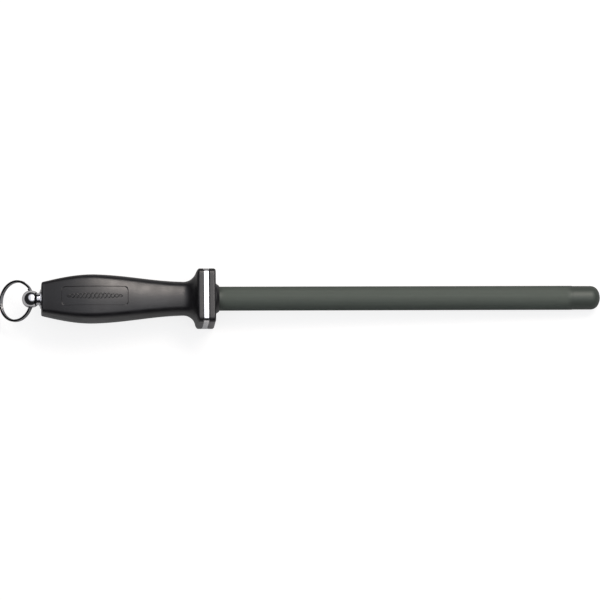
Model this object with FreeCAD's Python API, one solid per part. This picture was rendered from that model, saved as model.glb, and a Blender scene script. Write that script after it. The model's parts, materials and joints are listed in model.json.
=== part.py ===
import FreeCAD, Part
import math
import os

V = FreeCAD.Vector

# Knife sharpening steel, in millimetres. X runs along the rod towards its tip and Z is up.
# The origin is on the rod's axis, where the rod comes out of the guard's collar.

# Rod
rod_diameter = 16.0
rod_reach = 254.0           # from the collar to the tip
smooth_tip_length = 19.0    # end of the rod that is left uncut
rod_seat_relief = 0.3       # radius that the rod is turned down by inside the guard
tip_relief = 0.15           # radius that the uncut end is smaller by
tip_relief_taper = 0.6
tip_end_radius = 10.0       # sphere at the tip's middle
tip_edge_round = 6.0        # round between that sphere and the rod's side
tang_side = 8.0
thread_diameter = 8.0
thread_run_in = 8.0         # thread in front of the washer
thread_run_out = 2.9        # thread behind the nut
thread_chamfer = 0.8

# Guard
guard_side = 36.0
guard_corner = 3.3
cap_thickness = 4.6
cap_edge_round = 1.5
collar_length = 2.7
collar_root_wall = 2.5
collar_end_wall = 0.7
plate_thickness = 3.6
plate_edge_break = 0.3
flange_land = 2.43          # straight rim of the handle's flange
flange_edge_round = 2.4
flare_radius = 9.0          # hollow between neck and flange

# Grip: half sides, corner radii and crown radii of its squarish section
grip_length = 94.2          # pommel face to neck
belly_from_pommel = 34.0
taper_length = 63.0         # belly to where the taper would level out
pommel_half = 10.65
belly_half = 15.82
neck_half = 11.1
pommel_corner = 3.0
belly_corner = 4.7
neck_corner = 5.6
belly_crown = 60.0
neck_crown = 22.0
pommel_edge_round = 1.2
panel_length = 44.3
panel_width = 12.8
panel_corner = 2.6
panel_depth = 0.5
panel_from_pommel = 35.2    # pommel face to the panel's middle

# Tang fastening
nut_well_depth = 38.0
nut_flats = 13.0
nut_height = 6.5
nut_chamfer = 0.6
washer_thickness = 1.6

# Swivel
ball_diameter = 12.0
ball_reach = 6.9            # pommel face to the ball's centre
eye_hole_round = 0.5
eye_neck_diameter = 7.5
eye_base_diameter = 12.7
eye_base_rim = 0.5
eye_flare_along = 0.62      # middle of the flare's curve, as shares of its length and height
eye_flare_out = 0.34
shank_diameter = 6.0
shank_tail = 1.0            # shank behind the clip
shank_chamfer = 0.45
bush_length = 14.0
bush_chamfer = 0.8
thrust_washer_diameter = 11.0
thrust_washer_thickness = 1.0
clip_groove_depth = 0.7
clip_stand_out = 1.5        # clip above the shank
clip_thickness = 0.8
clip_mouth = 3.6

# Split ring
ring_diameter = 27.9
ring_wire_width = 1.6
ring_wire_height = 1.2
ring_turn_gap = 0.08
ring_wire_round = 0.3
ring_crossing_angle = 30.0
ring_crossing_from_ball = 32.0

# Fits
rod_clearance = 0.05        # radial, rod's seat in cap
tang_clearance = 0.1        # each side, tang in plate and grip
thread_clearance = 0.05     # radial, thread in nut
nut_well_clearance = 0.5    # radial, nut's corners in their well
washer_well_clearance = 0.3
washer_clearance = 0.2      # radial, washer on thread
running_clearance = 0.05    # radial, shank in bush
base_gap = 0.25             # eye base to pommel face
end_play = 0.2              # thrust washer to bush
clip_clearance = 0.05       # clip in its groove, radial and each side
ring_hole_clearance = 0.34  # ring's wire in the ball's hole
ring_ground_gap = 0.1       # resting ring above the plane under the guard

# Sizes that follow from the fits
rod_seat_diameter = rod_diameter - 2 * rod_seat_relief
collar_root_diameter = rod_diameter + 2 * collar_root_wall
collar_end_diameter = rod_diameter + 2 * collar_end_wall
nut_well_diameter = nut_flats * 2 / math.sqrt(3) + 2 * nut_well_clearance
washer_diameter = nut_well_diameter - 2 * washer_well_clearance
clip_groove_diameter = shank_diameter - 2 * clip_groove_depth
clip_outer_diameter = shank_diameter + 2 * clip_stand_out
ring_mean_radius = (ring_diameter - ring_wire_width) / 2
ring_half_height = ring_wire_height + ring_turn_gap / 2
# the bent wire lies half in front of the ball's centre and half behind it
ring_hang_back = (ring_mean_radius - math.sqrt(ring_mean_radius ** 2 - (ball_diameter / 2) ** 2)) / 2
wire_envelope = math.hypot(ring_hang_back + ring_wire_width / 2, ring_half_height)
eye_hole_diameter = 2 * (wire_envelope + ring_hole_clearance)

# Places along X
cap_front_x = -collar_length
plate_front_x = cap_front_x - cap_thickness
flange_front_x = plate_front_x - plate_thickness
flange_rim_x = flange_front_x - flange_land
guard_half = guard_side / 2
reach_of_rounds = flare_radius + flange_edge_round
grip_neck_share = (grip_length - belly_from_pommel) / taper_length
neck_end_half = neck_half + (belly_half - neck_half) * (1 + math.cos(math.pi * grip_neck_share)) / 2
drop_of_rounds = max(0.0, neck_end_half + flare_radius - (guard_half - flange_edge_round))
neck_x = flange_rim_x - math.sqrt(reach_of_rounds ** 2 - drop_of_rounds ** 2)
pommel_x = neck_x - grip_length
nut_seat_x = pommel_x + nut_well_depth
thread_start_x = nut_seat_x + thread_run_in
thread_end_x = nut_seat_x - washer_thickness - nut_height - thread_run_out
ball_x = pommel_x - ball_reach
bush_inner_x = pommel_x + bush_length
thrust_x = bush_inner_x + end_play
clip_x = thrust_x + thrust_washer_thickness + clip_clearance
shank_end_x = clip_x + clip_thickness + clip_clearance + shank_tail


def disc(diameter, x_from, x_to):
    """Cylinder on the X axis."""
    return Part.makeCylinder(diameter / 2, x_to - x_from, V(x_from, 0, 0), V(1, 0, 0))


def square_bar(side, x_from, x_to):
    """Square bar on the X axis."""
    return Part.makeBox(x_to - x_from, side, side, V(x_from, -side / 2, -side / 2))


def turned(edges):
    """Solid of revolution about X from edges that start and end on the axis."""
    return Part.Face(Part.Wire(edges)).revolve(V(0, 0, 0), V(1, 0, 0), 360)


def edges_at(shape, x):
    """Edges that lie in the plane square to the axis at x."""
    return [e for e in shape.Edges if abs(e.BoundBox.XMin - x) < 0.01 and abs(e.BoundBox.XMax - x) < 0.01]


def line(x_a, r_a, x_b, r_b):
    return Part.LineSegment(V(x_a, 0, r_a), V(x_b, 0, r_b)).toShape()


def in_quadrant(y, z, quarter):
    """Turn a point of the section by quarter turns about the axis."""
    for _ in range(quarter):
        y, z = -z, y
    return y, z


def section(x, half, corner, crown):
    """Square section with rounded corners; crown is the curvature of its sides, 0 for flat ones."""
    if crown > 0:
        radius = 1 / crown
        centre = half - radius
        middle = (centre + math.sqrt(2 * (radius - corner) ** 2 - centre ** 2)) / 2
        length = radius - corner
        side_end = (radius * middle / length, centre + radius * (middle - centre) / length)
    else:
        middle = half - corner
        side_end = (middle, half)
    tip = middle + corner / math.sqrt(2)
    edges = []
    for quarter in range(4):
        def at(y, z):
            return V(x, *in_quadrant(y, z, quarter))
        left = at(-side_end[0], side_end[1])
        right = at(side_end[0], side_end[1])
        down = at(side_end[1], side_end[0])
        if crown > 0:
            edges.append(Part.Arc(left, at(0, half), right).toShape())
        else:
            edges.append(Part.LineSegment(left, right).toShape())
        edges.append(Part.Arc(right, at(tip, tip), down).toShape())
    # the quarters run the other way round to the edges in them
    ordered = edges[0:2] + edges[6:8] + edges[4:6] + edges[2:4]
    return Part.Wire(ordered)


def loft(wires):
    return Part.makeLoft(wires, True, False)


def prism(wire, x_to):
    """Bar with the outline of a section, from the section to x_to."""
    face = Part.Face(wire)
    return face.extrude(V(x_to - wire.BoundBox.XMin, 0, 0))


def grip_section(from_pommel, sunk):
    """Section of the grip between pommel and neck, sunk under the surface by a depth."""
    if from_pommel <= belly_from_pommel:
        share = from_pommel / belly_from_pommel
        half = pommel_half + (belly_half - pommel_half) * math.sin(math.pi / 2 * share)
        corner = pommel_corner + (belly_corner - pommel_corner) * share
        crown = 1 / belly_crown
    else:
        share = (from_pommel - belly_from_pommel) / taper_length
        half = neck_half + (belly_half - neck_half) * (1 + math.cos(math.pi * share)) / 2
        along = (from_pommel - belly_from_pommel) / (grip_length - belly_from_pommel)
        corner = belly_corner + (neck_corner - belly_corner) * along
        crown = 1 / belly_crown + (1 / neck_crown - 1 / belly_crown) * along
    return section(pommel_x + from_pommel, half - sunk, corner - sunk, crown / (1 - sunk * crown))


def grip(sunk=0.0):
    """Body of the grip from pommel to neck."""
    to_belly = [belly_from_pommel * i / 5 for i in range(5)]
    rest = grip_length - belly_from_pommel
    to_neck = [belly_from_pommel + rest * i / 7 for i in range(8)]
    return loft([grip_section(u, sunk) for u in to_belly + to_neck])


def flare_section(x, half):
    share = (half - neck_end_half) / (guard_half - neck_end_half)
    corner = neck_corner + (guard_corner - neck_corner) * share
    crown = max(0.0, (1 - share) / neck_crown)
    if share > 0.999:
        crown = 0
    return section(x, half, corner, crown)


def flare():
    """Hollow between neck and flange, and the round at the flange's back edge."""
    sweep = math.acos(drop_of_rounds / reach_of_rounds)
    hollow = []
    for i in range(7):
        angle = sweep * i / 6
        hollow.append(flare_section(neck_x + flare_radius * math.sin(angle),
                                    neck_end_half + flare_radius * (1 - math.cos(angle))))
    rounding = []
    for i in range(5):
        angle = sweep * (1 - i / 4)
        rounding.append(flare_section(flange_rim_x - flange_edge_round * math.sin(angle),
                                      guard_half - flange_edge_round * (1 - math.cos(angle))))
    return loft(hollow).fuse(loft(rounding))


def panel_cutter():
    """Everything above the panel's floor, inside its outline."""
    middle_x = pommel_x + panel_from_pommel
    block = Part.makeBox(panel_length, panel_width, belly_half * 2,
                         V(middle_x - panel_length / 2, -panel_width / 2, 0))
    upright = [e for e in block.Edges if abs(e.Vertexes[0].Z - e.Vertexes[-1].Z) > belly_half]
    return block.makeFillet(panel_corner, upright).cut(grip(panel_depth))


def make_handle():
    body = grip()
    body = body.makeFillet(pommel_edge_round, edges_at(body, pommel_x))
    rim = prism(section(flange_rim_x, guard_half, guard_corner, 0), flange_front_x)
    body = body.fuse([flare(), rim])
    body = body.cut(panel_cutter())
    tang_hole = square_bar(tang_side + 2 * tang_clearance, nut_seat_x - 1, flange_front_x + 1)
    nut_well = disc(nut_well_diameter, pommel_x - 1, nut_seat_x)
    return body.cut([tang_hole, nut_well])


def make_rod():
    radius = rod_diameter / 2
    seat_radius = rod_seat_diameter / 2
    tip_radius = radius - tip_relief
    land_x = rod_reach - smooth_tip_length
    ball_x_of_tip = rod_reach - tip_end_radius
    round_r = tip_radius - tip_edge_round
    between = tip_end_radius - tip_edge_round
    dome_x = ball_x_of_tip + math.sqrt(between ** 2 - round_r ** 2)
    lean = math.atan2(round_r, dome_x - ball_x_of_tip)
    meet = V(ball_x_of_tip + tip_end_radius * math.cos(lean), 0, tip_end_radius * math.sin(lean))
    half_lean = (lean + math.pi / 2) / 2
    shoulder = Part.Arc(V(dome_x, 0, tip_radius),
                        V(dome_x + tip_edge_round * math.cos(half_lean), 0,
                          round_r + tip_edge_round * math.sin(half_lean)), meet).toShape()
    end = Part.Arc(meet, V(ball_x_of_tip + tip_end_radius * math.cos(lean / 2), 0,
                           tip_end_radius * math.sin(lean / 2)), V(rod_reach, 0, 0)).toShape()
    body = turned([
        line(plate_front_x, 0, plate_front_x, seat_radius),
        line(plate_front_x, seat_radius, 0, seat_radius),
        line(0, seat_radius, 0, radius),
        line(0, radius, land_x, radius),
        line(land_x, radius, land_x + tip_relief_taper, tip_radius),
        line(land_x + tip_relief_taper, tip_radius, dome_x, tip_radius),
        shoulder,
        end,
        line(rod_reach, 0, plate_front_x, 0),
    ])
    tang = square_bar(tang_side, thread_start_x, plate_front_x)
    thread = disc(thread_diameter, thread_end_x, thread_start_x)
    thread = thread.makeChamfer(thread_chamfer, edges_at(thread, thread_end_x))
    return body.fuse([tang, thread])


def make_guard_cap():
    block = prism(section(plate_front_x, guard_half, guard_corner, 0), cap_front_x)
    block = block.makeFillet(cap_edge_round, edges_at(block, cap_front_x))
    collar = Part.makeCone(collar_root_diameter / 2, collar_end_diameter / 2, collar_length,
                           V(cap_front_x, 0, 0), V(1, 0, 0))
    bore = disc(rod_seat_diameter + 2 * rod_clearance, plate_front_x - 1, 1)
    return block.fuse(collar).cut(bore)


def make_guard_plate():
    block = prism(section(flange_front_x, guard_half, guard_corner, 0), plate_front_x)
    rims = edges_at(block, flange_front_x) + edges_at(block, plate_front_x)
    block = block.makeChamfer(plate_edge_break, rims)
    hole = square_bar(tang_side + 2 * tang_clearance, flange_front_x - 1, plate_front_x + 1)
    return block.cut(hole)


def make_tang_washer():
    ring = disc(washer_diameter, nut_seat_x - washer_thickness, nut_seat_x)
    return ring.cut(disc(thread_diameter + 2 * washer_clearance, nut_seat_x - washer_thickness - 1,
                         nut_seat_x + 1))


def make_tang_nut():
    back_x = nut_seat_x - washer_thickness - nut_height
    front_x = back_x + nut_height
    corner = nut_flats / math.sqrt(3)
    points = [V(back_x, corner * math.cos(math.radians(60 * i)), corner * math.sin(math.radians(60 * i)))
              for i in range(7)]
    blank = Part.Face(Part.makePolygon(points)).extrude(V(nut_height, 0, 0))
    inner = corner - nut_chamfer
    chamfers = turned([
        line(back_x, 0, back_x, inner),
        line(back_x, inner, back_x + nut_chamfer, corner),
        line(back_x + nut_chamfer, corner, front_x - nut_chamfer, corner),
        line(front_x - nut_chamfer, corner, front_x, inner),
        line(front_x, inner, front_x, 0),
        line(front_x, 0, back_x, 0),
    ])
    bore = disc(thread_diameter + 2 * thread_clearance, back_x - 1, front_x + 1)
    return blank.common(chamfers).cut(bore)


def make_swivel_bush():
    sleeve = disc(nut_well_diameter, pommel_x, bush_inner_x)
    sleeve = sleeve.makeChamfer(bush_chamfer, edges_at(sleeve, bush_inner_x))
    return sleeve.cut(disc(shank_diameter + 2 * running_clearance, pommel_x - 1, bush_inner_x + 1))


def make_swivel_eye():
    ball = ball_diameter / 2
    neck = eye_neck_diameter / 2
    base = eye_base_diameter / 2
    shank = shank_diameter / 2
    groove = clip_groove_diameter / 2
    ball_end_x = ball_x + math.sqrt(ball ** 2 - neck ** 2)
    base_x = pommel_x - base_gap
    rim_x = base_x - eye_base_rim
    hollow = Part.Arc(V(ball_end_x, 0, neck),
                      V(ball_end_x + (rim_x - ball_end_x) * eye_flare_along, 0,
                        neck + (base - neck) * eye_flare_out),
                      V(rim_x, 0, base)).toShape()
    groove_x = clip_x - clip_clearance
    groove_end_x = clip_x + clip_thickness + clip_clearance
    body = turned([
        Part.Arc(V(ball_x - ball, 0, 0), V(ball_x, 0, ball), V(ball_end_x, 0, neck)).toShape(),
        hollow,
        line(rim_x, base, base_x, base),
        line(base_x, base, base_x, shank),
        line(base_x, shank, groove_x, shank),
        line(groove_x, shank, groove_x, groove),
        line(groove_x, groove, groove_end_x, groove),
        line(groove_end_x, groove, groove_end_x, shank),
        line(groove_end_x, shank, shank_end_x - shank_chamfer, shank),
        line(shank_end_x - shank_chamfer, shank, shank_end_x, shank - shank_chamfer),
        line(shank_end_x, shank - shank_chamfer, shank_end_x, 0),
        line(shank_end_x, 0, ball_x - ball, 0),
    ])
    hole = Part.makeCylinder(eye_hole_diameter / 2, ball_diameter * 2, V(ball_x, -ball_diameter, 0),
                             V(0, 1, 0))
    body = body.cut(hole)
    mouths = [e for e in body.Edges if abs(e.BoundBox.ZLength - eye_hole_diameter) < 0.05
              and abs(abs(e.BoundBox.Center.y) - ball) < 1 and e.BoundBox.YLength < 0.01]
    return body.makeFillet(eye_hole_round, mouths)


def make_swivel_washer():
    ring = disc(thrust_washer_diameter, thrust_x, thrust_x + thrust_washer_thickness)
    return ring.cut(disc(shank_diameter + 2 * running_clearance, thrust_x - 1,
                         thrust_x + thrust_washer_thickness + 1))


def make_swivel_clip():
    ring = disc(clip_outer_diameter, clip_x, clip_x + clip_thickness)
    ring = ring.cut(disc(clip_groove_diameter + 2 * clip_clearance, clip_x - 1, clip_x + clip_thickness + 1))
    mouth = Part.makeBox(clip_thickness + 2, clip_mouth, clip_outer_diameter,
                         V(clip_x - 1, -clip_mouth / 2, 0))
    return ring.cut(mouth)


def ring_droop():
    """Angle under the axis at which the ring's far side is just above the plane under the guard."""
    reach = ring_mean_radius - ring_hang_back + ring_diameter / 2
    drop = guard_half - ring_ground_gap
    return math.asin(drop / math.hypot(reach, ring_half_height)) - math.atan2(ring_half_height, reach)


def make_split_ring():
    low = -ring_half_height
    rise = ring_wire_height + ring_turn_gap
    centre = V(ring_hang_back - ring_mean_radius, 0, 0)
    up = V(0, 0, 1)

    def wire_at(angle, lift):
        """Outline of the flat wire with its edges rounded, at an angle round the ring."""
        across = ring_wire_width / 2
        tall = ring_wire_height / 2
        base = low + lift + tall
        edges = []
        for side, top in ((1, 1), (-1, 1), (-1, -1), (1, -1)):
            turn = side * top
            near = V(ring_mean_radius + side * across, 0, base + top * (tall - ring_wire_round))
            far = V(ring_mean_radius + side * (across - ring_wire_round), 0, base + top * tall)
            bend = ring_wire_round * (1 - math.sqrt(0.5))
            knee = V(ring_mean_radius + side * (across - bend), 0, base + top * (tall - bend))
            if turn > 0:
                corner = (near, knee, far)
            else:
                corner = (far, knee, near)
            if edges:
                edges.append(Part.LineSegment(last, corner[0]).toShape())
            else:
                first = corner[0]
            edges.append(Part.Arc(*corner).toShape())
            last = corner[2]
        edges.append(Part.LineSegment(last, first).toShape())
        outline = Part.Wire(edges)
        outline.rotate(V(0, 0, 0), up, angle)
        outline.translate(centre)
        return outline

    start = ring_crossing_from_ball + ring_crossing_angle
    full = 360 - ring_crossing_angle
    lower = Part.Face(wire_at(start, 0)).revolve(centre, up, full)
    upper = Part.Face(wire_at(start, rise)).revolve(centre, up, full)
    steps = 8
    crossing = []
    for i in range(steps + 1):
        share = i / steps
        lift = rise * share * share * (3 - 2 * share)
        crossing.append(wire_at(ring_crossing_from_ball + ring_crossing_angle * share, lift))
    ring = lower.fuse([upper, loft(crossing)])
    ring.rotate(V(0, 0, 0), V(0, 1, 0), -math.degrees(ring_droop()))
    ring.translate(V(ball_x, 0, 0))
    return ring


makers = {
    "sharpening_rod": make_rod,
    "guard_cap": make_guard_cap,
    "guard_plate": make_guard_plate,
    "handle": make_handle,
    "tang_washer": make_tang_washer,
    "tang_nut": make_tang_nut,
    "swivel_bush": make_swivel_bush,
    "swivel_eye": make_swivel_eye,
    "swivel_washer": make_swivel_washer,
    "swivel_clip": make_swivel_clip,
    "split_ring": make_split_ring,
}

os.makedirs("parts", exist_ok=True)
for name, make in makers.items():
    shape = make()
    shape.exportStep(f"parts/{name}.step")
    box = shape.BoundBox
    print(f"{name}: solids {len(shape.Solids)}, valid {shape.isValid()}, volume {shape.Volume:.1f}, "
          f"size {box.XLength:.2f} x {box.YLength:.2f} x {box.ZLength:.2f}")
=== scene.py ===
import json
import math

import bmesh
import bpy
import numpy as np
from mathutils import Matrix, Vector


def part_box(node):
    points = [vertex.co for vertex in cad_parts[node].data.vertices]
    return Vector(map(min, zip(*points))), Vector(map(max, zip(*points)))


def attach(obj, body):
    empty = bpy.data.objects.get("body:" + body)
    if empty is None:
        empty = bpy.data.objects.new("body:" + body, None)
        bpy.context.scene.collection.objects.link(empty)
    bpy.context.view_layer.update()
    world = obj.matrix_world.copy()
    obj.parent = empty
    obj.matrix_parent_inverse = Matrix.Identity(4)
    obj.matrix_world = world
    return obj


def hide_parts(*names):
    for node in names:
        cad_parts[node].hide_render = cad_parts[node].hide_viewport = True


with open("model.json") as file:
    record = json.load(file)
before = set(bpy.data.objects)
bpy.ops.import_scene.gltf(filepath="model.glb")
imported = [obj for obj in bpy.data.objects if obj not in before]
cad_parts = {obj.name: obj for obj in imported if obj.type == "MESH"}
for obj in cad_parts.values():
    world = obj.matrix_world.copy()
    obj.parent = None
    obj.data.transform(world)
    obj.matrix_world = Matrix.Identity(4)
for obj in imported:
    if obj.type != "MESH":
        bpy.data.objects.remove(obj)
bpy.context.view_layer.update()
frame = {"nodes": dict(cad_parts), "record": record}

mm = 0.001
scene = bpy.context.scene
cad = frame["nodes"]
mounts = {m["name"]: m for m in frame["record"]["mounts"]}
print("frame loaded,", len(cad), "nodes")


# meshes

def meshObject(name, verts, faces):
    mesh = bpy.data.meshes.new(name)
    mesh.from_pydata([tuple(v) for v in verts], [], faces)
    piece = bpy.data.objects.new(name, mesh)
    scene.collection.objects.link(piece)
    return piece


def faceOutward(piece):
    bm = bmesh.new()
    bm.from_mesh(piece.data)
    bmesh.ops.remove_doubles(bm, verts=bm.verts, dist=1e-7)
    bmesh.ops.recalc_face_normals(bm, faces=bm.faces)
    bm.to_mesh(piece.data)
    bm.free()


def skinRings(name, rings, loop=False):
    # every ring has as many points; a loop joins the last to the first, otherwise both ends get a pole
    count = len(rings[0])
    verts = [point for ring in rings for point in ring]
    pairs = [(i, i + 1) for i in range(len(rings) - 1)]
    if loop:
        pairs.append((len(rings) - 1, 0))
    faces = []
    for a, b in pairs:
        for i in range(count):
            j = (i + 1) % count
            faces.append((a * count + i, a * count + j, b * count + j, b * count + i))
    if not loop:
        for start in (0, (len(rings) - 1) * count):
            pole = len(verts)
            verts.append(tuple(np.mean(np.array(verts[start:start + count]), axis=0)))
            faces += [(start + i, start + (i + 1) % count, pole) for i in range(count)]
    piece = meshObject(name, verts, faces)
    faceOutward(piece)
    return piece


def smoothUpTo(piece, degrees):
    # creases sharper than the angle stay crisp
    bm = bmesh.new()
    bm.from_mesh(piece.data)
    for face in bm.faces:
        face.smooth = True
    for edge in bm.edges:
        edge.smooth = len(edge.link_faces) == 2 and edge.calc_face_angle(0) < math.radians(degrees)
    bm.to_mesh(piece.data)
    bm.free()


def markEdges(piece, fromRadius, toRadius):
    # vertex attribute: 0 on surfaces flatter than fromRadius, 1 on outer rounds tighter than toRadius
    mesh = piece.data
    points = np.array([v.co for v in mesh.vertices])
    normals = np.array([v.normal for v in mesh.vertices])
    ends = np.array([e.vertices[:] for e in mesh.edges])
    along = points[ends[:, 1]] - points[ends[:, 0]]
    turn = normals[ends[:, 1]] - normals[ends[:, 0]]
    length = np.maximum(np.linalg.norm(along, axis=1), 1e-6)
    bend = np.einsum("ij,ij->i", along, turn) / length ** 2
    sharpest = np.zeros(len(points))
    np.maximum.at(sharpest, ends[:, 0], bend)
    np.maximum.at(sharpest, ends[:, 1], bend)
    share = np.clip((sharpest - 1 / fromRadius) / (1 / toRadius - 1 / fromRadius), 0, 1)
    layer = mesh.attributes.new("edge", "FLOAT", "POINT")
    layer.data.foreach_set("value", share.astype(np.float32))


def plainMesh(piece):
    # the live modifier's result becomes the piece's own mesh
    graph = bpy.context.evaluated_depsgraph_get()
    made = bpy.data.meshes.new_from_object(piece.evaluated_get(graph), depsgraph=graph)
    piece.modifiers.clear()
    piece.data = made
    return piece


def mergedCopy(node, name):
    piece = bpy.data.objects.new(name, cad[node].data.copy())
    piece.data.materials.clear()
    scene.collection.objects.link(piece)
    bm = bmesh.new()
    bm.from_mesh(piece.data)
    bmesh.ops.remove_doubles(bm, verts=bm.verts, dist=2e-6)
    bm.to_mesh(piece.data)
    bm.free()
    return piece


# node trees

def addNode(tree, kind, inputs=None, **settings):
    made = tree.nodes.new(kind)
    for key, value in settings.items():
        setattr(made, key, value)
    for key, value in (inputs or {}).items():
        if isinstance(value, bpy.types.NodeSocket):
            tree.links.new(value, made.inputs[key])
        else:
            made.inputs[key].default_value = value
    return made


def attribute(tree, name):
    return addNode(tree, "ShaderNodeAttribute", attribute_name=name).outputs["Fac"]


def calc(tree, operation, a, b=0.0, c=0.0):
    made = addNode(tree, "ShaderNodeMath", {0: a, 1: b, 2: c}, operation=operation)
    return made.outputs[0]


def ramp(tree, value, lowIn, highIn, lowOut=0.0, highOut=1.0, shape="SMOOTHSTEP"):
    made = addNode(tree, "ShaderNodeMapRange", {0: value, 1: lowIn, 2: highIn, 3: lowOut, 4: highOut},
                   interpolation_type=shape)
    return made.outputs[0]


def blendColour(tree, share, a, b):
    # a plain colour is given without its alpha
    first, second = [side if isinstance(side, bpy.types.NodeSocket) else (*side, 1) for side in (a, b)]
    return addNode(tree, "ShaderNodeMix", {0: share, 6: first, 7: second}, data_type="RGBA").outputs[2]


def makeTree(name, kind, inputs, outputs):
    tree = bpy.data.node_groups.new(name, kind)
    for label, socket, value in inputs:
        made = tree.interface.new_socket(name=label, in_out="INPUT", socket_type="NodeSocket" + socket)
        if value is not None:
            made.default_value = value
    for label, socket in outputs:
        tree.interface.new_socket(name=label, in_out="OUTPUT", socket_type="NodeSocket" + socket)
    return tree, tree.nodes.new("NodeGroupInput").outputs, tree.nodes.new("NodeGroupOutput").inputs


def endTree(tree, geometry, given, out):
    # real faces that carry the given material
    real = addNode(tree, "GeometryNodeRealizeInstances", {"Geometry": geometry}).outputs[0]
    done = addNode(tree, "GeometryNodeSetMaterial", {"Geometry": real, "Material": given["Material"]})
    tree.links.new(done.outputs[0], out["Geometry"])
    return tree


def useTree(piece, tree, values):
    made = piece.modifiers.new(tree.name, "NODES")
    made.node_group = tree
    for item in tree.interface.items_tree:
        if item.in_out == "INPUT" and item.name in values:
            made[item.identifier] = values[item.name]
    return made


# shared surface effects

def makeGrainGroup():
    # noise with its own stretch on each axis, as a value round the middle and as a height
    tree, given, out = makeTree("grain", "ShaderNodeTree",
                                [("Vector", "Vector", None), ("Stretch", "Vector", (1, 1, 1)),
                                 ("Scale", "Float", 1000.0), ("Detail", "Float", 3.0),
                                 ("Contrast", "Float", 1.0)],
                                [("Value", "Float"), ("Height", "Float")])
    stretched = addNode(tree, "ShaderNodeVectorMath", {0: given["Vector"], 1: given["Stretch"]},
                        operation="MULTIPLY")
    noise = addNode(tree, "ShaderNodeTexNoise", {"Vector": stretched.outputs[0], "Scale": given["Scale"],
                                                 "Detail": given["Detail"], "Roughness": 0.55})
    centred = calc(tree, "SUBTRACT", noise.outputs["Fac"], 0.5)
    value = calc(tree, "MULTIPLY_ADD", centred, given["Contrast"], 0.5)
    tree.links.new(calc(tree, "MAXIMUM", calc(tree, "MINIMUM", value, 1.0), 0.0), out["Value"])
    tree.links.new(noise.outputs["Fac"], out["Height"])
    return tree


def makeRubGroup():
    # where hands and table tops rub: tight outer rounds, broken up by noise
    tree, given, out = makeTree("edgeRub", "ShaderNodeTree",
                                [("Vector", "Vector", None), ("Edge", "Float", 0.0),
                                 ("Scale", "Float", 700.0), ("Amount", "Float", 0.5)],
                                [("Mask", "Float")])
    noise = addNode(tree, "ShaderNodeTexNoise", {"Vector": given["Vector"], "Scale": given["Scale"],
                                                 "Detail": 5.0, "Roughness": 0.6})
    worn = calc(tree, "MULTIPLY", given["Edge"], ramp(tree, noise.outputs["Fac"], 0.42, 0.66))
    tree.links.new(calc(tree, "MULTIPLY", worn, given["Amount"]), out["Mask"])
    return tree


def makeScratchGroup():
    # thin hairline marks that cross each other at a shallow angle
    tree, given, out = makeTree("hairlines", "ShaderNodeTree",
                                [("Vector", "Vector", None), ("Scale", "Float", 300.0),
                                 ("Thin", "Float", 0.04), ("Amount", "Float", 0.5)],
                                [("Mask", "Float")])
    marks = None
    for turn in (0.35, -0.8, 1.9):
        mapped = addNode(tree, "ShaderNodeMapping", {"Vector": given["Vector"],
                                                     "Rotation": (turn, turn * 0.6, turn),
                                                     "Scale": (0.12, 1.0, 1.0)})
        noise = addNode(tree, "ShaderNodeTexNoise", {"Vector": mapped.outputs[0], "Scale": given["Scale"],
                                                     "Detail": 1.0})
        off = calc(tree, "ABSOLUTE", calc(tree, "SUBTRACT", noise.outputs["Fac"], 0.5))
        line = calc(tree, "SUBTRACT", 1.0, ramp(tree, off, 0.0, given["Thin"]))
        marks = line if marks is None else calc(tree, "MAXIMUM", marks, line)
    tree.links.new(calc(tree, "MULTIPLY", marks, given["Amount"]), out["Mask"])
    return tree


grainGroup = makeGrainGroup()
rubGroup = makeRubGroup()
scratchGroup = makeScratchGroup()


def startMaterial(name, colour, **surface):
    material = bpy.data.materials.new(name)
    material.use_nodes = True
    material.diffuse_color = (*colour, 1)
    tree = material.node_tree
    shader = tree.nodes["Principled BSDF"]
    shader.inputs["Base Color"].default_value = (*colour, 1)
    for key, value in surface.items():
        shader.inputs[key].default_value = value
    place = addNode(tree, "ShaderNodeTexCoord").outputs["Object"]
    return material, tree, shader, place


def placeGroup(tree, group, place, inputs):
    return addNode(tree, "ShaderNodeGroup", {"Vector": place, **inputs}, node_tree=group).outputs


def addBump(tree, shader, height, distance, strength=1.0, under=None):
    made = addNode(tree, "ShaderNodeBump", {"Height": height, "Distance": distance, "Strength": strength})
    if under is not None:
        tree.links.new(under, made.inputs["Normal"])
    tree.links.new(made.outputs[0], shader.inputs["Normal"])
    return made.outputs[0]


moulding = {"colour": (0.0054, 0.0052, 0.0067), "rubbed": (0.018, 0.018, 0.02), "rough": (0.31, 0.42),
            "rubSmooths": 0.1}


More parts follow.
